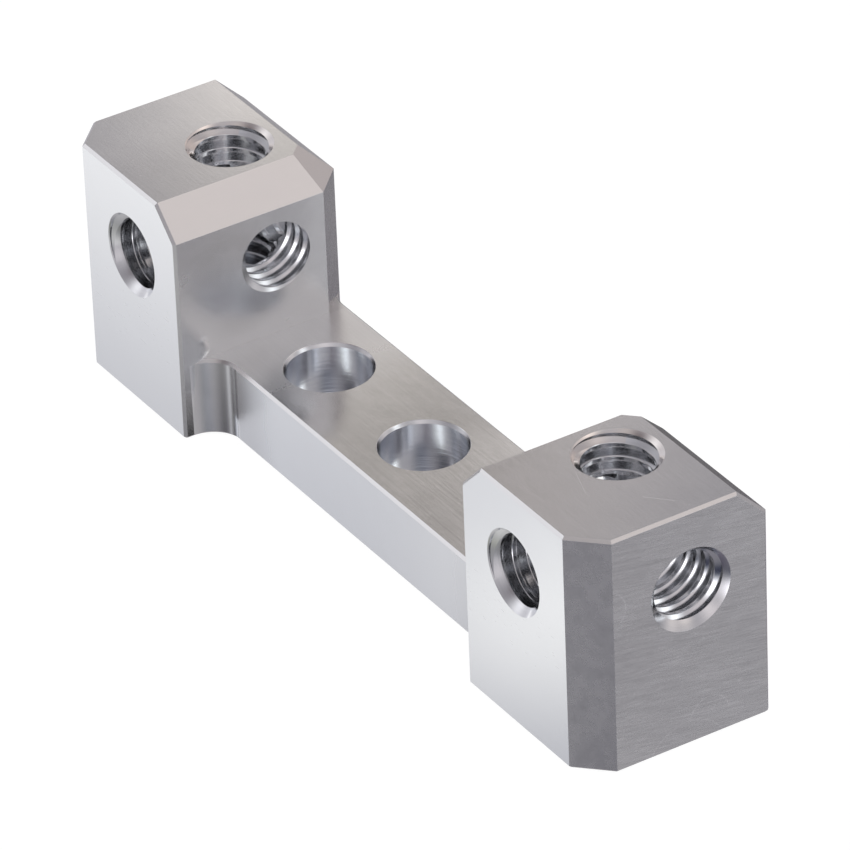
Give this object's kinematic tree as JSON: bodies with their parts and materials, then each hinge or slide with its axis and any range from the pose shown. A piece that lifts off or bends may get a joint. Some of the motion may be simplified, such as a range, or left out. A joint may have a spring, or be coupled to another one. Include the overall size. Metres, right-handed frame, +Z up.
{
  "type": "mounting block",
  "caption": "Saddle-shaped machined metal block: two tall end blocks with threaded holes on three axes, joined by a low web with plain holes.",
  "frame": {"origin": "under the middle of the part, on the plane it stands on: mid-length, and midway across the end blocks", "axes": "+X along the length, +Z up, -Y out of the side on which the web is set back further"},
  "size_m": [0.043, 0.0094, 0.012],
  "materials": {
    "machined_aluminium": "machined and lightly brushed, bare"
  },
  "bodies": {
    "root": {"mounting_block": "machined_aluminium"}
  },
  "joints": []
}
